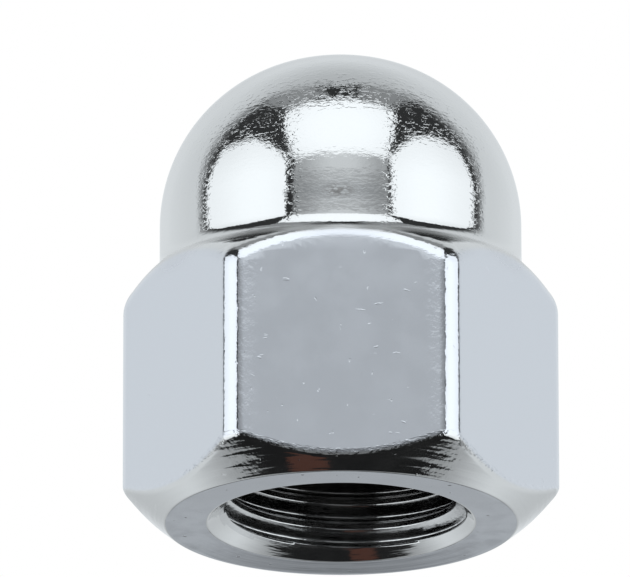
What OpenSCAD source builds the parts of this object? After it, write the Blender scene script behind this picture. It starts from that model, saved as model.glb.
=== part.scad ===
// Domed cap nut for a 1/2-20 UNF screw, 3/4 in across the flats: a hexagon, a neck and a dome in one piece.
// The seat is at z = 0, the thread runs up the Z axis and the dome is on top.
// Lengths are in millimetres and angles in degrees.

/* [Hexagon] */
// Width across the flats: a 3/4 in wrench fits
across_flats = 19.05; // [18:0.05:25]
// Height from the seat to the corner where the neck rises
hexagon_height = 13.1; // [8:0.1:20]
// Rounding of every edge between flats, corners and chamfers
edge_radius = 0.95; // [0.4:0.05:1.2]

/* [Chamfers] */
// How far the rim of the seat lies inside the flats
seat_inset = 0.8; // [0.3:0.05:1.5]
// Slope of the lower chamfer, up from the seat
lower_slope = 34; // [20:1:45]
// Slope of the upper chamfer, down from the neck
upper_slope = 39; // [20:1:45]

/* [Dome] */
// How far the neck lies inside the flats
neck_inset = 0.5; // [0.3:0.05:1.5]
// Length of the straight neck between the hexagon and the dome
neck_height = 2.25; // [0.5:0.05:6]
// Hollow rounding at the foot of the neck
foot_radius = 0.4; // [0.1:0.05:0.8]
// How far off the axis the shoulder's arc is centred
shoulder_offset = 0.58; // [0.1:0.02:2]
// How much larger the crown's radius is than the neck's
crown_excess = 0.66; // [0.1:0.02:4]

/* [Threaded hole] */
// Nominal diameter of the thread
thread_diameter = 12.7; // [8:0.1:13]
// Pitch of the thread: 20 turns to the inch
thread_pitch = 1.27; // [0.75:0.01:1.5]
// How far the countersink's mouth stands outside the thread
countersink_margin = 0.28; // [0.1:0.02:0.6]
// Included angle of the countersink
countersink_angle = 100; // [82:1:120]
// Included angle of the drill's point at the end of the hole
drill_angle = 118; // [90:1:140]
// Metal left between the drill's point and the top of the dome
crown_wall = 4; // [2:0.1:6]

/* [Hidden] */
$fn = 96;
// Sides of the ball that rounds the hexagon's edges
BALL_SIDES = 32;
// Depth of a 60 degree internal thread on both sides together, for each millimetre of pitch
THREAD_DEPTH = 1.0825;
// How far a cutter runs past the surface that it opens
PAST = 1;

flat_radius = across_flats / 2;
bar_radius = flat_radius / cos(30);
core_radius = (flat_radius - edge_radius) / cos(30);
seat_radius = flat_radius - seat_inset;
neck_radius = flat_radius - neck_inset;

shoulder_radius = neck_radius - shoulder_offset;
crown_radius = neck_radius + crown_excess;
shoulder_z = hexagon_height + neck_height;
crown_z = shoulder_z - sqrt(pow(crown_radius - shoulder_radius, 2) - pow(shoulder_offset, 2));
total_height = crown_z + crown_radius;

bore_radius = (thread_diameter - THREAD_DEPTH * thread_pitch) / 2;
drill_point = bore_radius / tan(drill_angle / 2);
bore_depth = total_height - crown_wall - drill_point;
mouth_radius = thread_diameter / 2 + countersink_margin;
countersink_depth = mouth_radius / tan(countersink_angle / 2);

// Half section between two cones that lie edge_radius inside the chamfers
module core_section() {
    lower_start = seat_radius - edge_radius / sin(lower_slope);
    upper_start = neck_radius - edge_radius / sin(upper_slope);
    polygon([
        [0, 0],
        [lower_start, 0],
        [bar_radius, (bar_radius - lower_start) * tan(lower_slope)],
        [bar_radius, hexagon_height - (bar_radius - upper_start) * tan(upper_slope)],
        [upper_start, hexagon_height],
        [0, hexagon_height]
    ]);
}

// Chamfered hexagon, corners on the X axis, with each edge as a ball leaves it that rolls over the core
module rolled_hexagon() {
    minkowski() {
        intersection() {
            cylinder(r = core_radius, h = hexagon_height, $fn = 6);
            rotate_extrude() core_section();
        }
        sphere(edge_radius / cos(180 / BALL_SIDES), $fn = BALL_SIDES);
    }
}

// The ball's sweep below the seat is faced off flat, and the one above ends inside the neck
module hexagon_body() {
    difference() {
        rolled_hexagon();
        translate([0, 0, -2 * edge_radius]) cylinder(r = bar_radius, h = 2 * edge_radius);
    }
}

// Half section: the neck, the shoulder's arc, and the crown's arc inside the line through both centres
module dome_section() {
    join_angle = atan2(shoulder_offset, shoulder_z - crown_z);
    reach = 2 * crown_radius;
    root_z = hexagon_height / 2;
    translate([0, root_z]) square([neck_radius, shoulder_z - root_z]);
    intersection() {
        translate([shoulder_offset, shoulder_z]) circle(shoulder_radius);
        translate([0, shoulder_z]) square([neck_radius, shoulder_radius]);
    }
    translate([0, crown_z]) intersection() {
        circle(crown_radius);
        polygon([[0, 0], [reach * sin(join_angle), reach * cos(join_angle)], [0, reach]]);
    }
}

// Half section of the hollow rounding between the neck and the upper chamfer, rooted in both
module foot_section() {
    rise = foot_radius * (1 - sin(upper_slope)) / cos(upper_slope);
    centre = [neck_radius + foot_radius, hexagon_height + rise];
    touch = centre - foot_radius * [sin(upper_slope), cos(upper_slope)];
    root = [neck_radius - foot_radius, hexagon_height - foot_radius];
    difference() {
        polygon([root, [root.x, centre.y], centre, touch, [touch.x, root.y]]);
        translate(centre) circle(foot_radius);
    }
}

module dome() {
    rotate_extrude() dome_section();
    rotate_extrude() foot_section();
}

// Hole at the thread's inner diameter, closed by the cone that the drill leaves
module threaded_hole() {
    translate([0, 0, -PAST]) cylinder(r = bore_radius, h = bore_depth + PAST);
    translate([0, 0, bore_depth]) cylinder(r1 = bore_radius, r2 = 0, h = drill_point);
}

module countersink() {
    past_radius = mouth_radius * (1 + PAST / countersink_depth);
    translate([0, 0, -PAST]) cylinder(r1 = past_radius, r2 = 0, h = countersink_depth + PAST);
}

module cap_nut() {
    color("gainsboro") difference() {
        union() {
            hexagon_body();
            dome();
        }
        threaded_hole();
        countersink();
    }
}

cap_nut();
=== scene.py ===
"""Chromed dome cap nut: the dressed model, its studio and its camera, in metres in the CAD part's frame."""
import math

import bpy
import numpy as np
from mathutils import Matrix, Vector


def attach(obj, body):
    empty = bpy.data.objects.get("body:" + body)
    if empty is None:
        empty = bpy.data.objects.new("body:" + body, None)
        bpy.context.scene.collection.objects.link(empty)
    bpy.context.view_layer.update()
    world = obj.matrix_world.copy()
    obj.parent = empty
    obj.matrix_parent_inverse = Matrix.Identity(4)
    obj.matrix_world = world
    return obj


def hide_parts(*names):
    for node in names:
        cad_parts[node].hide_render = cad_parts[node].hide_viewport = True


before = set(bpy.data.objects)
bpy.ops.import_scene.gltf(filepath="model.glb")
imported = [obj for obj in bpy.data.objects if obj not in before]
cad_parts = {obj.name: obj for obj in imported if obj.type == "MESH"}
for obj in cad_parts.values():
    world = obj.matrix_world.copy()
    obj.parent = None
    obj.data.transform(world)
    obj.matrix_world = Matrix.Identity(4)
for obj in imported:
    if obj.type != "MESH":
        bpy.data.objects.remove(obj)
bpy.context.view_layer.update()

MM = 0.001

# -------------------------------------------------- the nut's sizes, in millimetres
ACROSS_FLATS = 19.05
FLAT_RADIUS = ACROSS_FLATS / 2
HEX_HEIGHT = 13.16             # seat to the sharp corner under the neck
CORNER_ROUND = 1.40            # rounding of the six upright edges
LOWER_ROUND = (0.60, 0.55)     # rounding over the lower chamfer, at the middle of a flat and at a corner
UPPER_ROUND = (1.15, 1.80)     # the same under the upper chamfer
UPPER_RUNOUT = 0.50            # how far the upper chamfer's axis stands behind the nut's
CORNER_WEAR_REACH = math.radians(14)   # how far from a corner the larger rounding fades out
SEAT_ROUND = 0.20              # rounding of the seat's rim
SEAT_RADIUS = FLAT_RADIUS - 0.80
SEAT_DISH = math.tan(math.radians(1.2))    # slope by which the seat rises towards the hole
LOWER_SLOPE = math.radians(39)         # chamfers, from the level
NECK_RADIUS = FLAT_RADIUS - 0.54
UPPER_SLOPE = math.radians(41)
FOOT_RADIUS = 1.2              # hollow at the foot of the neck
SHOULDER_RADIUS = NECK_RADIUS - 0.51   # the dome's arc above the neck
CROWN_RADIUS = NECK_RADIUS + 0.97      # the dome's arc over the top
TOP = 23.93                    # crown's highest point

MAJOR_RADIUS = 12.7 / 2        # the thread's roots
PITCH = 1.27
MINOR_RADIUS = MAJOR_RADIUS - 1.0825 * PITCH / 2
CREST_EASE = 0.09              # rounding of the thread's crests and roots
MOUTH_RADIUS = MAJOR_RADIUS + 0.26
MOUTH_HEIGHT = (SEAT_RADIUS - MOUTH_RADIUS) * SEAT_DISH
MOUTH_ROUND = 0.18
SINK_HALF_ANGLE = math.radians(50)
THREAD_START = 0.27            # height where the helical rows begin, inside the countersink
THREAD_END = 13.2              # where the last full thread runs out
RUN_OUT = 1.5 * PITCH          # and over what height
THREAD_STOP = 14.2             # where the helical rows stop, in the plain bore
BORE_END = 16.5                # where the drill's point begins
DRILL_HALF_ANGLE = math.radians(59)

# -------------------------------------------------- mesh density
CORNER_STEPS = 12              # columns across one upright edge
FLAT_STEPS = 36                # columns across one flat
CORNER_HALF_WIDTH = math.radians(4.5)
OUTER_ROWS = 128               # rows from the crown to the mouth
BEND_WEIGHT = 5.0              # length, in mm, that a bend of one radian counts for when rows are shared out
LIP_STEPS = 5                  # rings across the mouth's rounding
ROWS_PER_PITCH = 14

# the regions of the skin, in the order of their materials
DOME, HEXAGON, SEAT, COUNTERSINK, THREAD = range(5)
DOME_MARGIN = 0.20             # the dome's region reaches this far outside the neck, into the hollow
SEAT_MARGIN = 0.08             # and the seat's stops this far inside its rim
SINK_SHARE = 0.6               # share of the countersink's height that is bare of thread


# -------------------------------------------------- signed distances of the outer form
def hexagon_distance(x, y):
    """Distance to the rounded hexagon in plan, and how far its outward direction is radial."""
    angle, r = np.arctan2(y, x), np.hypot(x, y)
    off = np.abs(angle - np.round(angle / (math.pi / 3)) * math.pi / 3)
    u, v = r * np.cos(off), r * np.sin(off)
    nx, ny = math.cos(math.pi / 6), math.sin(math.pi / 6)
    centre = (FLAT_RADIUS - CORNER_ROUND) / nx
    on_corner = -(u - centre) * ny + v * nx < 0
    to_corner = np.maximum(np.hypot(u - centre, v), 1e-9)
    distance = np.where(on_corner & (u > centre / 2),
                        to_corner - CORNER_ROUND, u * nx + v * ny - FLAT_RADIUS)
    gu = np.where(on_corner, (u - centre) / to_corner, nx)      # outward direction in plan
    gv = np.where(on_corner, v / to_corner, ny)
    return distance, gu * np.cos(off) + gv * np.sin(off)


def rounded_and(a, b, cosine, radius):
    """Intersection of two forms whose outward normals meet at acos(cosine), its edge rolled by a ball."""
    u, v = a + radius, b + radius
    square = np.maximum(1 - cosine * cosine, 1e-9)
    along_a, along_b = (u - v * cosine) / square, (v - u * cosine) / square
    rolled = np.sqrt(np.maximum(u * u + v * v - 2 * u * v * cosine, 0) / square) - radius
    return np.where((along_a <= 0) | (along_b <= 0), np.maximum(a, b), rolled)


def worn_radius(x, y, radii):
    """Rounding of an edge round the hexagon: small over the flats, larger where the corners are knocked."""
    angle = np.arctan2(y, x)
    off = np.abs(angle - np.round(angle / (math.pi / 3)) * math.pi / 3)
    share = np.clip(1 - off / CORNER_WEAR_REACH, 0, 1) ** 2
    return radii[0] + (radii[1] - radii[0]) * share


def hexagon_body(x, y, z):
    """Distance to the hexagon with its two chamfers and its dished seat, every edge rounded."""
    r = np.hypot(x, y)
    side, radial = hexagon_distance(x, y)
    lower = (r - SEAT_RADIUS) * math.sin(LOWER_SLOPE) - z * math.cos(LOWER_SLOPE)
    upper_r = np.hypot(x, y - UPPER_RUNOUT)
    upper = (upper_r - NECK_RADIUS) * math.sin(UPPER_SLOPE) + (z - HEX_HEIGHT) * math.cos(UPPER_SLOPE)
    body = rounded_and(side, lower, radial * math.sin(LOWER_SLOPE), worn_radius(x, y, LOWER_ROUND))
    body = rounded_and(body, upper, radial * math.sin(UPPER_SLOPE), worn_radius(x, y, UPPER_ROUND))
    seat = ((SEAT_RADIUS - r) * SEAT_DISH - z) / math.hypot(1, SEAT_DISH)
    body = rounded_and(body, seat, np.full_like(body, math.cos(LOWER_SLOPE)), SEAT_ROUND)
    return body


def dome_body(x, y, z):
    """Distance to the neck and the dome, a shoulder arc and a crown arc that meet in one tangent."""
    r = np.hypot(x, y)
    crown_z = TOP - CROWN_RADIUS
    off = NECK_RADIUS - SHOULDER_RADIUS
    shoulder_z = crown_z + math.sqrt((CROWN_RADIUS - SHOULDER_RADIUS) ** 2 - off ** 2)
    crown = np.hypot(r, z - crown_z) - CROWN_RADIUS
    shoulder = np.hypot(r - off, z - shoulder_z) - SHOULDER_RADIUS
    above = r * (shoulder_z - crown_z) - (z - crown_z) * off < 0
    dome = np.where(z <= shoulder_z, r - NECK_RADIUS, np.where(above, crown, shoulder))
    return np.maximum(dome, HEX_HEIGHT / 2 - z)


def outer_form(x, y, z):
    """Distance to hexagon and dome together, with the hollow at the foot of the neck."""
    hexagon, dome = hexagon_body(x, y, z), dome_body(x, y, z)
    cosine = np.full_like(hexagon, math.sin(UPPER_SLOPE))
    return -rounded_and(-hexagon, -dome, cosine, FOOT_RADIUS)


def gradient(form, points, step=1e-3):
    """Unit outward directions of a form at points (..., 3)."""
    parts = []
    for axis in np.eye(3) * step:
        ahead, behind = points + axis, points - axis
        parts.append(form(*np.moveaxis(ahead, -1, 0)) - form(*np.moveaxis(behind, -1, 0)))
    normal = np.stack(parts, -1)
    return normal / np.maximum(np.linalg.norm(normal, axis=-1, keepdims=True), 1e-12)


# -------------------------------------------------- the outer skin, by rays from a point inside
HEART = 11.5                   # height on the axis from which the whole outer skin is seen
NEAREST, FARTHEST = 4.0, 18.0  # the skin lies between these distances from the heart
HALVINGS = 34
FIRST_POLAR = 0.02             # angle of the first row from straight up
TRIAL_ROWS = 900               # rows tried out before the kept ones are shared out


def column_angles():
    """Plan angles of the columns: close together over the upright edges, wider over the flats."""
    corner = np.linspace(-CORNER_HALF_WIDTH, CORNER_HALF_WIDTH, CORNER_STEPS + 1)
    flat = np.linspace(CORNER_HALF_WIDTH, math.pi / 3 - CORNER_HALF_WIDTH, FLAT_STEPS + 1)[1:-1]
    sector = np.concatenate([corner, flat])
    return np.concatenate([sector + k * math.pi / 3 for k in range(6)])


def cast(plan, polar):
    """Points where rays from the heart meet the outer skin; polar is measured from straight up."""
    dx, dy, dz = np.sin(polar) * np.cos(plan), np.sin(polar) * np.sin(plan), np.cos(polar)
    near, far = np.full_like(polar, NEAREST), np.full_like(polar, FARTHEST)
    for _ in range(HALVINGS):
        half = (near + far) / 2
        inside = outer_form(half * dx, half * dy, HEART + half * dz) < 0
        near, far = np.where(inside, half, near), np.where(inside, far, half)
    reach = (near + far) / 2
    return np.stack([reach * dx, reach * dy, HEART + reach * dz], -1)


def outer_skin(plan):
    """Grid of points from the crown down and round to the mouth, rows closest where the skin bends."""
    last = math.pi - math.atan2(MOUTH_RADIUS + MOUTH_ROUND, HEART)
    dense = np.linspace(FIRST_POLAR, last, TRIAL_ROWS)
    columns, polars = np.meshgrid(plan, dense, indexing="ij")
    points = cast(columns, polars)
    normals = gradient(outer_form, points)
    run = np.linalg.norm(np.diff(points, axis=1), axis=-1)
    bend = np.linalg.norm(np.diff(normals, axis=1), axis=-1)
    weight = np.cumsum(run + BEND_WEIGHT * bend, axis=1)
    weight = np.concatenate([np.zeros((len(plan), 1)), weight], axis=1)
    share = np.linspace(0, 1, OUTER_ROWS)
    rows = np.stack([np.interp(share, w / w[-1], dense) for w in weight])
    points = cast(np.repeat(plan[:, None], OUTER_ROWS, 1), rows)
    return points, gradient(outer_form, points)


# -------------------------------------------------- the hole
def soft_clip(value, low, high, width):
    """value held between low and high, its corners eased over width."""
    def soft_max(a, b):
        h = np.clip((a - b) / width * 0.5 + 0.5, 0, 1)
        return b + (a - b) * h + width * h * (1 - h)
    return -soft_max(-soft_max(value, np.full_like(value, low)), np.full_like(value, -high))


def hole_radius(plan, z):
    """Radius of the hole: countersink, 60 degree thread that runs out at its end, plain bore."""
    phase = np.mod(z / PITCH - plan / (2 * math.pi), 1.0)
    from_root = np.abs(phase - 0.5) * PITCH
    groove = MAJOR_RADIUS + (PITCH / 16 - from_root) * math.tan(math.radians(60))
    run_out = np.clip((THREAD_END - z) / RUN_OUT, 0, 1)
    cut = soft_clip(groove, MINOR_RADIUS, MAJOR_RADIUS, CREST_EASE)
    thread = MINOR_RADIUS + (cut - MINOR_RADIUS) * run_out
    cone = MOUTH_RADIUS - (z - MOUTH_HEIGHT) * math.tan(SINK_HALF_ANGLE)
    return np.maximum(thread, cone)


def hole_normal(plan, z, step=2e-3):
    """Unit directions out of the metal, towards the axis."""
    r = hole_radius(plan, z)
    by_z = (hole_radius(plan, z + step) - hole_radius(plan, z - step)) / (2 * step)
    by_plan = (hole_radius(plan + step, z) - hole_radius(plan - step, z)) / (2 * step) / r
    radial = np.stack([np.cos(plan), np.sin(plan), np.zeros_like(plan)], -1)
    around = np.stack([-np.sin(plan), np.cos(plan), np.zeros_like(plan)], -1)
    normal = -radial + by_plan[..., None] * around + by_z[..., None] * np.array([0.0, 0.0, 1.0])
    return normal / np.linalg.norm(normal, axis=-1, keepdims=True)


# -------------------------------------------------- the mesh
def around(radius, plan, z):
    """Vectors with this radius, plan angle and height, broadcast over one another."""
    return np.stack(np.broadcast_arrays(radius * np.cos(plan), radius * np.sin(plan), z), -1)


class Skin:
    """One closed mesh in the making: points, their normals, and faces with a region each."""

    def __init__(self):
        self.points, self.normals, self.faces, self.regions = [], [], [], []
        self.count = 0

    def add(self, points, normals):
        """Takes points (..., 3) and their normals, and gives back their numbers (...)."""
        shape = points.shape[:-1]
        numbers = self.count + np.arange(int(np.prod(shape))).reshape(shape)
        self.points.append(points.reshape(-1, 3))
        self.normals.append(normals.reshape(-1, 3))
        self.count += numbers.size
        return numbers

    def face(self, corners, region):
        """A face without the corners that repeat; one that has shrunk to a line is left out."""
        kept = [c for i, c in enumerate(corners) if c != corners[i - 1]]
        if len(set(kept)) >= 3:
            self.faces.append(tuple(int(c) for c in kept))
            self.regions.append(region)

    def join(self, ring, following, region):
        """Faces between two rings of points, closed round the axis."""
        for corners in zip(ring, following, np.roll(following, -1), np.roll(ring, -1)):
            self.face(corners, region)


def add_outer(skin, plan):
    """Crown, dome, hexagon and seat; gives back the ring at the mouth."""
    points, normals = outer_skin(plan)
    outer = skin.add(points, normals)
    pole = skin.add(np.array([0.0, 0.0, TOP]), np.array([0.0, 0.0, 1.0]))
    for a, b in zip(outer[:, 0], np.roll(outer[:, 0], -1)):
        skin.face((int(pole), a, b), DOME)
    middle = (points[:, :-1] + points[:, 1:]) / 2
    reach, height = np.hypot(middle[..., 0], middle[..., 1]), middle[..., 2]
    on_dome = (reach < NECK_RADIUS + DOME_MARGIN) & (height > HEX_HEIGHT / 2)
    on_seat = (reach < SEAT_RADIUS - SEAT_MARGIN) & (height < SEAT_ROUND)
    region = np.where(on_dome, DOME, np.where(on_seat, SEAT, HEXAGON)).tolist()
    for row in range(OUTER_ROWS - 1):
        for i in range(len(plan)):
            j = (i + 1) % len(plan)
            skin.face((outer[i, row], outer[i, row + 1], outer[j, row + 1], outer[j, row]), region[i][row])
    return outer[:, -1]


def add_mouth(skin, plan, rim):
    """The mouth's rounding and the countersink up to the thread's start; gives back its last ring."""
    turn = math.pi / 2 - SINK_HALF_ANGLE
    setback = MOUTH_ROUND * math.tan(turn / 2)
    lip_angles = np.linspace(0, turn, LIP_STEPS)
    lip_r = MOUTH_RADIUS + setback - MOUTH_ROUND * np.sin(lip_angles)
    lip_z = MOUTH_ROUND * (1 - np.cos(lip_angles)) + MOUTH_HEIGHT
    sink_z = np.linspace(lip_z[-1], THREAD_START, 4)[1:]
    sink_r = lip_r[-1] - (sink_z - lip_z[-1]) * math.tan(SINK_HALF_ANGLE)
    tilt = np.concatenate([lip_angles, np.full(len(sink_z), turn)])
    points = around(np.concatenate([lip_r, sink_r]), plan[:, None], np.concatenate([lip_z, sink_z]))
    mouth = skin.add(points, around(-np.sin(tilt), plan[:, None], -np.cos(tilt)))
    skin.join(rim, mouth[:, 0], SEAT)
    for row in range(len(tilt) - 1):
        skin.join(mouth[:, row], mouth[:, row + 1], COUNTERSINK)
    return mouth[:, -1]


def add_thread(skin, plan, begin):
    """The thread, in rows that follow the helix and are held between its start and its stop."""
    first = int(math.floor(THREAD_START / PITCH * ROWS_PER_PITCH)) - ROWS_PER_PITCH - 1
    last = int(math.ceil(THREAD_STOP / PITCH * ROWS_PER_PITCH)) + 1
    steps = np.arange(first, last + 1)
    rise = steps[None, :] / ROWS_PER_PITCH * PITCH + (plan / (2 * math.pi) * PITCH)[:, None]
    held = np.clip(rise, THREAD_START, THREAD_STOP)
    turned = np.broadcast_to(plan[:, None], held.shape)
    grid = skin.add(around(hole_radius(turned, held), turned, held), hole_normal(turned, held))
    end = grid[:, -1]
    grid = np.where(rise <= THREAD_START, begin[:, None], np.where(rise >= THREAD_STOP, end[:, None], grid))
    bare = (MOUTH_RADIUS - MINOR_RADIUS) / math.tan(SINK_HALF_ANGLE) * SINK_SHARE
    top = len(steps) - 1
    for i in range(len(plan)):
        j = (i + 1) % len(plan)
        shift = ROWS_PER_PITCH if j == 0 else 0      # one turn on, the helix is one pitch higher
        for k in range(min(top, top + 1 - shift)):
            region = COUNTERSINK if held[i, k] < bare else THREAD
            beyond = min(k + 1 + shift, top)
            skin.face((grid[i, k], grid[i, k + 1], grid[j, beyond], grid[j, k + shift]), region)
        for k in range(shift):                       # the first turn's rows below the start all lie on it
            skin.face((begin[i], grid[j, k + 1], grid[j, k]), COUNTERSINK)
    return end


def add_bore(skin, plan, ring):
    """The plain bore and the cone that the drill's point leaves."""
    for z in np.linspace(THREAD_STOP, BORE_END, 4)[1:]:
        following = skin.add(around(MINOR_RADIUS, plan, z), around(-1.0, plan, 0.0))
        skin.join(ring, following, THREAD)
        ring = following
    tip = BORE_END + MINOR_RADIUS / math.tan(DRILL_HALF_ANGLE)
    slope = around(-math.cos(DRILL_HALF_ANGLE), plan, -math.sin(DRILL_HALF_ANGLE))
    for share in (0.5, 0.06):
        following = skin.add(around(MINOR_RADIUS * share, plan, tip - (tip - BORE_END) * share), slope)
        skin.join(ring, following, THREAD)
        ring = following
    top = skin.add(np.array([0.0, 0.0, tip]), np.array([0.0, 0.0, -1.0]))
    for a, b in zip(ring, np.roll(ring, -1)):
        skin.face((a, int(top), b), THREAD)


def build_nut():
    """The whole closed skin, from the crown down, round the seat and up the hole."""
    skin = Skin()
    plan = column_angles()
    rim = add_outer(skin, plan)
    begin = add_mouth(skin, plan, rim)
    end = add_thread(skin, plan, begin)
    add_bore(skin, plan, end)
    return skin


def mesh_object(skin, name, materials):
    """The skin as a Blender object, without its unused points and with its own normals."""
    points = np.concatenate(skin.points) * MM
    normals = np.concatenate(skin.normals)
    used = np.zeros(len(points), bool)
    for f in skin.faces:
        used[list(f)] = True
    number = np.cumsum(used) - 1
    mesh = bpy.data.meshes.new(name)
    mesh.from_pydata(points[used].tolist(), [], [[int(number[c]) for c in f] for f in skin.faces])
    for m in materials:
        mesh.materials.append(m)
    mesh.polygons.foreach_set("material_index", skin.regions)
    mesh.polygons.foreach_set("use_smooth", [True] * len(mesh.polygons))
    mesh.update()
    mesh.validate()
    mesh.normals_split_custom_set_from_vertices(normals[used].tolist())
    made = bpy.data.objects.new(name, mesh)
    bpy.context.scene.collection.objects.link(made)
    return made


# -------------------------------------------------- node helpers
class Nodes:
    """Short forms for the node arithmetic that the materials and the studio are written in."""

    def __init__(self, tree):
        self.tree = tree
        tree.nodes.clear()

    def new(self, kind, **settings):
        node = self.tree.nodes.new("ShaderNode" + kind)
        for key, value in settings.items():
            setattr(node, key, value)
        return node

    def put(self, socket, value):
        if isinstance(value, bpy.types.NodeSocket):
            self.tree.links.new(value, socket)
        else:
            socket.default_value = value

    def math(self, operation, a, b=0.0):
        node = self.new("Math", operation=operation)
        self.put(node.inputs[0], a)
        self.put(node.inputs[1], b)
        return node.outputs[0]

    def add(self, a, b):
        return self.math("ADD", a, b)

    def sub(self, a, b):
        return self.math("SUBTRACT", a, b)

    def mul(self, a, b):
        return self.math("MULTIPLY", a, b)

    def vec(self, operation, a, b=(0, 0, 0), scale=1.0):
        node = self.new("VectorMath", operation=operation)
        self.put(node.inputs[0], a)
        self.put(node.inputs[1], b)
        if operation == "SCALE":
            self.put(node.inputs["Scale"], scale)
        return node.outputs["Value" if operation in ("DOT_PRODUCT", "LENGTH") else "Vector"]

    def ramp(self, value, low, high, to_low=0.0, to_high=1.0):
        """A smooth step: to_low where value is low or less, to_high where it is high or more."""
        node = self.new("MapRange", interpolation_type="SMOOTHSTEP", clamp=True)
        for socket, number in zip(node.inputs[:5], (value, low, high, to_low, to_high)):
            self.put(socket, number)
        return node.outputs[0]

    def turn_ramp(self, value, degrees, to_low=0.0, to_high=1.0):
        """A smooth ramp over an angle, whose ends are given in degrees."""
        return self.ramp(value, math.radians(degrees[0]), math.radians(degrees[1]), to_low, to_high)

    def mix(self, factor, a, b):
        """Colour a where factor is 0, colour b where it is 1."""
        node = self.new("Mix", data_type="RGBA")
        self.put(node.inputs[0], factor)
        self.put(node.inputs[6], a)
        self.put(node.inputs[7], b)
        return node.outputs[2]

    def lerp(self, factor, a, b):
        """Number a where factor is 0, number b where it is 1."""
        node = self.new("Mix", data_type="FLOAT")
        self.put(node.inputs[0], factor)
        self.put(node.inputs[2], a)
        self.put(node.inputs[3], b)
        return node.outputs[0]

    def noise(self, vector, detail, rough):
        node = self.new("TexNoise")
        self.put(node.inputs["Vector"], vector)
        for key, value in (("Scale", 1.0), ("Detail", detail), ("Roughness", rough)):
            node.inputs[key].default_value = value
        return node.outputs["Fac"]


# -------------------------------------------------- the studio, as directions seen from the nut
def direction(azimuth, elevation):
    """Unit direction; azimuth 0 is towards -Y, where the photograph is taken from, and +90 towards +X."""
    a, e = math.radians(azimuth), math.radians(elevation)
    return Vector((math.sin(a) * math.cos(e), -math.cos(a) * math.cos(e), math.sin(e)))


# soft boxes and cards: corners as (azimuth, elevation) in degrees, and brightness
CENTRE_BOX = ([(-31, 28), (31, 28), (41, 45), (60, 61), (46, 71), (-46, 71), (-60, 61), (-43, 45)], 1.64)
LEFT_BOX = ([(-35, 10), (-36, 29), (-52, 39), (-72, 43), (-93, 37),
             (-97, 0), (-97, -52), (-60, -48), (-38, -34)], 1.66)
RIGHT_BOX = ([(32, 10), (33, 30), (56, 44), (74, 44), (92, 38),
              (96, 0), (96, -52), (60, -48), (36, -34)], 1.68)
LEFT_REFLECTOR = ([(-57, 63), (-101, 60), (-110, 78), (-30, 80)], 0.40)
RIGHT_REFLECTOR = ([(57, 65), (30, 80), (110, 78), (102, 62)], 0.38)
BROWN_CARD = ([(-28, -81), (-54, -73), (-86, -72.5), (-135, -83)], (0.095, 0.043, 0.032, 1.0))
STUDIO_TINT = (0.955, 1.0, 1.03)
PLAIN_WHITE = (1.0, 1.0, 1.0, 1.0)


def box_mask(n, ray, corners, soft=0.010):
    """1 inside the spherical polygon with these corners, 0 outside."""
    points = [direction(*c) for c in corners]
    middle = sum(points, Vector()).normalized()
    mask = None
    for a, b in zip(points, points[1:] + points[:1]):
        edge = a.cross(b).normalized()
        if edge.dot(middle) < 0:
            edge = -edge
        inside = n.ramp(n.vec("DOT_PRODUCT", ray, tuple(edge)), -soft, soft)
        mask = inside if mask is None else n.mul(mask, inside)
    return mask


def tent_level(n, azimuth, elevation, x, y):
    """Mask and brightness of the white tent that stands round the back of the nut, and reaches below it."""
    # its front edge fades in over some degrees, further back high up and sharper low down
    low_down = (-54, -40)
    begin = n.turn_ramp(elevation, low_down, math.radians(103.5), math.radians(96))
    full = n.turn_ramp(elevation, (16, 40), math.radians(106), math.radians(118))
    full = n.mul(full, n.turn_ramp(elevation, low_down, 108 / 106, 1.0))
    mask = n.mul(n.ramp(azimuth, begin, full), n.turn_ramp(elevation, (-74, -62)))
    # it is lit a little unevenly round the nut, and dims towards its top and its foot
    back = n.lerp(n.turn_ramp(elevation, (30, 50)), n.turn_ramp(azimuth, (142, 174), 1.0, 0.82), 1.0)
    level = n.mul(n.turn_ramp(azimuth, (108, 132), 0.99, 1.02), back)
    level = n.mul(level, n.turn_ramp(elevation, (8, 42), 1.06, 1.0))
    level = n.mul(level, n.turn_ramp(elevation, (46, 84), 1.0, 0.74))
    level = n.mul(level, n.turn_ramp(elevation, (-64, -34), 0.42, 0.955))
    # below the horizon the far side falls off, and straight behind a card stands on a dark strip of floor
    card = n.mul(n.ramp(n.math("ABSOLUTE", x), 0.05, 0.14, 1.0, 0.0),
                 n.turn_ramp(elevation, (-14.5, -11.5), 1.0, 0.0))
    card_level = n.mul(n.turn_ramp(elevation, (-20.2, -18.0), 0.16, 0.70),
                       n.turn_ramp(elevation, (-16.9, -15.3), 1.0, 0.86))
    far = n.lerp(n.mul(card, n.ramp(y, 0.5, 0.7)), n.ramp(y, 0.50, 0.90, 1.0, 0.80), card_level)
    return mask, n.mul(level, n.lerp(n.turn_ramp(elevation, (-8, 10)), far, 1.0))


def front_level(n, azimuth, elevation):
    """Mask and brightness of the pale table top in front, which dims towards the camera."""
    mask = n.mul(n.turn_ramp(azimuth, (29.0, 31.5), 1.0, 0.0), n.turn_ramp(elevation, (-16, -12)))
    mask = n.mul(mask, n.turn_ramp(elevation, (40, 60), 1.0, 0.0))
    level = n.mul(n.turn_ramp(elevation, (17.6, 20.3), 0.620, 0.97),
                  n.turn_ramp(azimuth, (4, 30), 1.0, 0.58))
    level = n.mul(level, n.turn_ramp(elevation, (17.5, 18.3), 1.12, 1.0))
    level = n.mul(level, n.turn_ramp(elevation, (-14, 14), 0.42, 1.0))
    return mask, level


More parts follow.
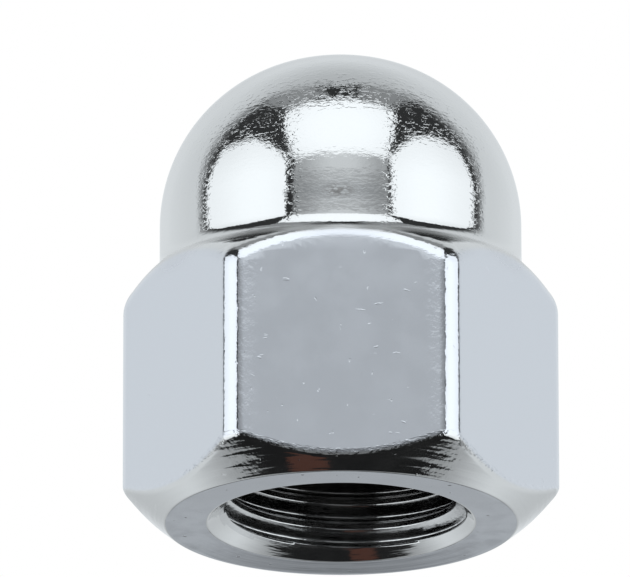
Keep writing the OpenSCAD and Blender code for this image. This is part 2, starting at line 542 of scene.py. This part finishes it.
def side_box_level(n, azimuth, elevation, bright):
    """A side box is brightest in its middle, and dims towards its four sides."""
    level = n.mul(n.turn_ramp(azimuth, (58, 94), bright, bright * 0.89),
                  n.turn_ramp(elevation, (14, 42), 1.0, 0.90))
    return n.mul(level, n.mul(n.turn_ramp(azimuth, (33, 52), 0.95, 1.0),
                              n.turn_ramp(elevation, (-54, -30), 0.72, 1.0)))


def build_world():
    """The studio, which only mirrored rays see; for all other rays the world is plain white."""
    world = bpy.data.worlds.new("studio")
    bpy.context.scene.world = world
    world.use_nodes = True
    n = Nodes(world.node_tree)
    ray = n.new("TexCoord").outputs["Generated"]
    parts = n.new("SeparateXYZ")
    n.put(parts.inputs[0], ray)
    x, y, z = parts.outputs
    azimuth = n.math("ARCTAN2", n.math("ABSOLUTE", x), n.mul(y, -1.0))    # 0 in front, pi behind
    elevation = n.math("ARCSINE", z)

    # the dark room round the camera, with a faint light low in front
    level = n.turn_ramp(elevation, (-25, 25), 0.016, 0.045)
    glimmer = n.mul(n.turn_ramp(azimuth, (7, 19), 1.0, 0.0), n.turn_ramp(elevation, (-57, -46)))
    level = n.lerp(glimmer, level, n.turn_ramp(elevation, (-30, 0), 0.26, 0.04))
    mask, bright = front_level(n, azimuth, elevation)
    level = n.lerp(mask, level, bright)
    mask, bright = tent_level(n, azimuth, elevation, x, y)
    level = n.lerp(mask, level, bright)
    for corners, bright in (LEFT_REFLECTOR, RIGHT_REFLECTOR):
        level = n.lerp(box_mask(n, ray, corners), level, bright)
    for corners, bright in (LEFT_BOX, RIGHT_BOX):
        level = n.lerp(box_mask(n, ray, corners), level, side_box_level(n, azimuth, elevation, bright))
    corners, bright = CENTRE_BOX
    to_middle = n.vec("DOT_PRODUCT", ray, tuple(direction(0, 52)))        # 1 at the box's middle
    bright = n.ramp(to_middle, 0.78, 1.0, bright * 0.86, bright * 1.02)
    level = n.lerp(box_mask(n, ray, corners), level, bright)
    tint = n.vec("SCALE", STUDIO_TINT, scale=level)
    corners, brown = BROWN_CARD
    tint = n.mix(box_mask(n, ray, corners, 0.006), tint, brown)

    path = n.new("LightPath")
    mirrored = n.math("MAXIMUM", path.outputs["Is Glossy Ray"], path.outputs["Is Transmission Ray"])
    back = n.new("Background")
    n.put(back.inputs["Color"], n.mix(mirrored, PLAIN_WHITE, tint))
    back.inputs["Strength"].default_value = 1.0
    n.put(n.new("OutputWorld").inputs["Surface"], back.outputs[0])


# -------------------------------------------------- materials
CHROME = (0.577, 0.598, 0.636, 1.0)         # the flats' slightly blue chromium
TURNED_CHROME = (0.586, 0.592, 0.592, 1.0)  # dome, chamfers and mouth, a little warmer
THREAD_CHROME = (0.520, 0.526, 0.530, 1.0)
NECK_BAND_CHROME = (0.480, 0.488, 0.492, 1.0)    # darker chromium in a band round the rubbed spot
PIT_SHADE = (0.200, 0.205, 0.215, 1.0)            # painted shade: the darker floor of the small pits in the seat
SHADE_AND_SMUDGE_CHROME = (0.290, 0.285, 0.280, 1.0)    # dark chromium: painted shade deep in the hole, and the dark flecks of the rubbed spot on the neck
SMUDGE = (-0.1, -9.0, 14.37)                # a rubbed spot at the front of the neck, in mm


class Plating(Nodes):
    """A chrome material: its shader, the place on the nut in millimetres, and ways to mark the surface."""

    def __init__(self, name, colour, roughness):
        self.material = bpy.data.materials.new(name)
        self.material.use_nodes = True
        super().__init__(self.material.node_tree)
        self.shader = self.new("BsdfPrincipled")
        self.shader.inputs["Base Color"].default_value = colour
        self.shader.inputs["Metallic"].default_value = 1.0
        self.put(self.new("OutputMaterial").inputs["Surface"], self.shader.outputs[0])
        coordinates = self.new("TexCoord")
        self.place = self.vec("SCALE", coordinates.outputs["Object"], scale=1 / MM)
        flat = self.vec("MULTIPLY", self.place, (1, 1, 0))
        self.radius = self.vec("LENGTH", flat)
        self.round = self.vec("NORMALIZE", flat)
        split = self.new("SeparateXYZ")
        self.put(split.inputs[0], self.place)
        self.plan_angle = self.math("ARCTAN2", split.outputs[1], split.outputs[0])
        self.height = split.outputs[2]
        turned = self.new("SeparateXYZ")
        self.put(turned.inputs[0], coordinates.outputs["Normal"])
        self.facing = turned.outputs[2]          # -1 on the seat, 0 on the flats, 1 on the crown
        self.normal = None
        low, high = roughness
        self.rough = self.ramp(self.grain((0.55, 0.55, 0.55), 3.0), 0.36, 0.64, low, high)
        self.put(self.shader.inputs["Roughness"], self.rough)

    def grain(self, scale, detail=2.0):
        """Noise over the place, with so many waves to the millimetre along x, y and z."""
        return self.noise(self.vec("MULTIPLY", self.place, scale), detail, 0.55)

    def turned(self, around, across, along=None, detail=2.0):
        """Noise drawn out round the axis, as a lathe leaves it; across counts waves to the millimetre."""
        step = self.new("CombineXYZ")
        self.put(step.inputs[2], self.mul(self.radius if along is None else along, across))
        place = self.vec("ADD", self.vec("SCALE", self.round, scale=around), step.outputs[0])
        return self.noise(place, detail, 0.5)

    def specks(self, scale, size, bend=0.0):
        """1 in small scattered spots, 0 between them; bend makes them uneven."""
        cells = self.new("TexVoronoi")
        place = self.vec("MULTIPLY", self.place, scale)
        if bend:
            wobble = self.new("TexNoise")
            self.put(wobble.inputs["Vector"], place)
            wobble.inputs["Scale"].default_value = 2.2
            place = self.vec("ADD", place, self.vec("SCALE", wobble.outputs["Color"], scale=bend))
        self.put(cells.inputs["Vector"], place)
        cells.inputs["Scale"].default_value = 1.0
        return self.ramp(cells.outputs["Distance"], size * 0.55, size, 1.0, 0.0)

    def bump(self, height, depth, where=None, level=0.5):
        """Raises the surface by (height - level) times depth, in millimetres, where the mask is."""
        node = self.new("Bump")
        node.inputs["Strength"].default_value = 1.0
        node.inputs["Distance"].default_value = depth * MM
        if where is not None:
            height = self.mul(self.sub(height, level), where)
        self.put(node.inputs["Height"], height)
        if self.normal is not None:
            self.put(node.inputs["Normal"], self.normal)
        self.normal = node.outputs[0]
        self.put(self.shader.inputs["Normal"], self.normal)


def dome_plating():
    """Polished dome: the wavy skin of bright chromium over fine turning, and a rubbed spot at the front."""
    n = Plating("dome_chrome", TURNED_CHROME, (0.035, 0.070))
    # long and short waves of the plating, stronger over the shoulder than at the neck
    n.bump(n.grain((1.6, 1.6, 3.8), 3.0), 0.0070, n.ramp(n.height, 14.0, 16.5, 0.7, 1.0))
    n.bump(n.grain((4.2, 4.2, 8.5)), 0.0055, n.ramp(n.height, 14.5, 17.5, 0.35, 1.0))
    # flecks: a band round the shoulder that reaches lower at the sides, and two stripes on either side
    turn = n.math("ABSOLUTE", n.add(n.plan_angle, math.pi / 2))          # angle from the front
    raised = n.add(n.height, n.mul(n.turn_ramp(turn, (17, 22)), 1.3))
    shoulder = n.mul(n.ramp(raised, 18.0, 19.4, 0.12, 1.0), n.ramp(n.height, 20.8, 21.8, 1.0, 0.30))
    stripes = n.add(n.mul(n.turn_ramp(turn, (11.5, 13.5)), n.turn_ramp(turn, (17, 19), 1.0, 0.0)),
                    n.mul(n.turn_ramp(turn, (43, 46)), n.turn_ramp(turn, (50, 54), 1.0, 0.0)))
    flecked = n.math("MAXIMUM", shoulder, n.mul(stripes, 0.8))
    n.bump(n.ramp(n.grain((3.0, 3.0, 5.6)), 0.50, 0.66), 0.0055, flecked, 0.0)
    # turning marks on the neck
    n.bump(n.turned(0.5, 6.0, n.height), 0.0030, n.ramp(n.height, 13.8, 15.0, 1.0, 0.0))
    # the rubbed spot, and a darker band round it
    off = n.vec("SUBTRACT", n.place, SMUDGE)
    rubbed = n.ramp(n.vec("LENGTH", n.vec("MULTIPLY", off, (1.0, 1.0, 2.2))), 0.15, 1.1, 1.0, 0.0)
    n.bump(n.grain((4.0, 4.0, 7.0), 3.0), 0.0130, rubbed)
    band = n.ramp(n.vec("LENGTH", n.vec("MULTIPLY", off, (1.0, 1.0, 4.0))), 0.8, 3.2, 0.9, 0.0)
    band_tone = n.mix(band, TURNED_CHROME, NECK_BAND_CHROME)
    dull = n.mul(rubbed, n.ramp(n.grain((3.0, 3.0, 6.0), 3.0), 0.42, 0.55))
    # dark flecks in the rubbed spot, in the same dark chromium that paints the shade deep in the hole
    n.put(n.shader.inputs["Base Color"], n.mix(dull, band_tone, SHADE_AND_SMUDGE_CHROME))
    return n.material


def hexagon_plating():
    """Flats drawn up and down, ragged where they meet the corners, and chamfers turned round the axis."""
    n = Plating("hexagon_chrome", CHROME, (0.050, 0.095))
    steep = n.math("ABSOLUTE", n.facing)
    chamfer = n.ramp(steep, 0.25, 0.55)
    n.put(n.shader.inputs["Base Color"], n.mix(chamfer, CHROME, TURNED_CHROME))
    # drawing lines and slow waves of the flats, then dents along the upright edges
    n.bump(n.grain((7.0, 7.0, 0.35)), 0.0011)
    n.bump(n.grain((0.35, 0.35, 0.25)), 0.0080)
    from_corner = n.math("PINGPONG", n.plan_angle, math.pi / 6)
    n.bump(n.grain((3.2, 3.2, 2.4), 3.0), 0.0100, n.turn_ramp(from_corner, (3.5, 8), 1.0, 0.0))
    # turning marks on the chamfers
    n.bump(n.turned(1.6, 2.8), 0.0300, chamfer)
    # duller plating in the hollow at the neck's foot
    foot = n.mul(n.mul(n.ramp(n.radius, 9.40, 9.95, 1.0, 0.0), n.ramp(n.radius, 9.15, 9.35)),
                 n.ramp(n.height, 11.0, 12.0))
    n.put(n.shader.inputs["Roughness"], n.lerp(foot, n.rough, 0.34))
    # the ragged edge between the flats and the chamfers, mostly the lower one's
    edge = n.mul(n.ramp(steep, 0.02, 0.10), n.ramp(steep, 0.35, 0.60, 1.0, 0.0))
    n.bump(n.grain((2.0, 2.0, 4.5), 3.0), 0.0750, n.mul(edge, n.ramp(n.height, 3.5, 4.5, 1.0, 0.25)))
    # handling marks in crowds, and single small pits between them
    crowd = n.ramp(n.grain((0.30, 0.30, 0.42), 1.0), 0.50, 0.58)
    n.bump(n.specks((0.75, 0.75, 1.9), 0.15, 0.9), 0.0060, crowd, 0.0)
    n.bump(n.specks((1.3, 1.3, 0.8), 0.085, 0.9), -0.0080, n.sub(1.0, crowd), 0.0)
    return n.material


def seat_plating():
    """The faced seat, with faint turning marks and a few pits, their floors painted dark as shade."""
    n = Plating("seat_chrome", CHROME, (0.060, 0.120))
    n.bump(n.turned(1.5, 2.2), 0.0018)
    pits = n.specks((0.9, 0.9, 0.9), 0.10, 0.5)
    n.bump(pits, -0.0150)
    # painted shade: the pits are coloured darker, as the shade in them
    n.put(n.shader.inputs["Base Color"], n.mix(pits, CHROME, PIT_SHADE))
    return n.material


def countersink_plating():
    """The countersink, whose turning marks run round it."""
    n = Plating("countersink_chrome", TURNED_CHROME, (0.050, 0.090))
    n.bump(n.turned(1.3, 3.4, detail=3.0), 0.0240)
    return n.material


def thread_plating():
    """Thread and bore: rougher, cut marks along the helix, and painted shade that darkens the colour towards
    the depth.
    """
    n = Plating("thread_chrome", THREAD_CHROME, (0.080, 0.190))
    # painted shade: the colour darkens from 0.8 mm to 4.5 mm up into the hole
    n.put(n.shader.inputs["Base Color"], n.mix(n.ramp(n.height, 0.8, 4.5), THREAD_CHROME, SHADE_AND_SMUDGE_CHROME))
    n.bump(n.turned(3.0, 9.0, n.height, 3.0), 0.0040)
    n.bump(n.grain((3.0, 3.0, 6.0), 3.0), 0.0120)
    return n.material


# -------------------------------------------------- floor
FLOOR_HALF = 0.6               # half the floor's side, in metres
FLOOR_LEVEL = -0.00002         # just under the seat, in metres
FLOOR_PAINT = (0.86, 0.86, 0.85, 1.0)


def build_floor():
    """A pale floor under the seat. It is seen only from above, because the photograph looks up past it."""
    mesh = bpy.data.meshes.new("floor")
    sides = [(-1, -1), (1, -1), (1, 1), (-1, 1)]
    mesh.from_pydata([(x * FLOOR_HALF, y * FLOOR_HALF, FLOOR_LEVEL) for x, y in sides], [], [(0, 1, 2, 3)])
    material = bpy.data.materials.new("floor_paint")
    material.use_nodes = True
    n = Nodes(material.node_tree)
    paint = n.new("BsdfPrincipled")
    paint.inputs["Base Color"].default_value = FLOOR_PAINT
    paint.inputs["Roughness"].default_value = 0.6
    paint.inputs["Specular IOR Level"].default_value = 0.0
    clear = n.new("BsdfTransparent")
    both = n.new("MixShader")
    n.put(both.inputs[0], n.new("NewGeometry").outputs["Backfacing"])
    n.put(both.inputs[1], paint.outputs[0])
    n.put(both.inputs[2], clear.outputs[0])
    n.put(n.new("OutputMaterial").inputs["Surface"], both.outputs[0])
    mesh.materials.append(material)
    floor = bpy.data.objects.new("floor", mesh)
    bpy.context.scene.collection.objects.link(floor)
    floor.visible_glossy = False
    floor.visible_diffuse = False
    floor.visible_transmission = False
    floor.visible_shadow = False


# -------------------------------------------------- camera
CAMERA_ELEVATION = -18.1       # the photograph looks up at the nut from below its seat
CAMERA_AZIMUTH = 0.22
CAMERA_ROLL = -0.10
CAMERA_DISTANCE = 35 * ACROSS_FLATS * MM
CAMERA_TARGET = Vector((0.0, 0.0, 0.6 * ACROSS_FLATS * MM))
ACROSS_FLATS_SHARE = 0.6095    # how much of the frame's width the size across the flats fills
TARGET_IN_FRAME = (0.5408, 0.5261)     # where the target stands, from the frame's upper left corner
FRAME_ASPECT = 577 / 630       # the frame's height over its width
SENSOR_WIDTH = 36.0            # in millimetres


def build_camera():
    """The photograph's viewpoint: from below the seat, with the nut set where it stands in the photo."""
    data = bpy.data.cameras.new("camera")
    data.sensor_fit = "HORIZONTAL"
    data.sensor_width = SENSOR_WIDTH
    data.lens = SENSOR_WIDTH * ACROSS_FLATS_SHARE * CAMERA_DISTANCE / (ACROSS_FLATS * MM)
    data.clip_start, data.clip_end = 0.01, 10.0
    data.shift_x = -(TARGET_IN_FRAME[0] - 0.5)
    data.shift_y = (TARGET_IN_FRAME[1] - 0.5) * FRAME_ASPECT
    camera = bpy.data.objects.new("camera", data)
    bpy.context.scene.collection.objects.link(camera)
    back = direction(-CAMERA_AZIMUTH, CAMERA_ELEVATION)
    camera.location = CAMERA_TARGET + back * CAMERA_DISTANCE
    turn = (-back).to_track_quat("-Z", "Y").to_matrix()
    roll = Matrix.Rotation(math.radians(CAMERA_ROLL), 3, "Z")
    camera.rotation_euler = (turn @ roll).to_euler()
    bpy.context.scene.camera = camera


def main():
    build_world()
    build_floor()
    materials = [dome_plating(), hexagon_plating(), seat_plating(), countersink_plating(), thread_plating()]
    nut = mesh_object(build_nut(), "nut", materials)
    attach(nut, "root")
    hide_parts("cap_nut")
    build_camera()
    bpy.context.scene.view_settings.view_transform = "Standard"


main()
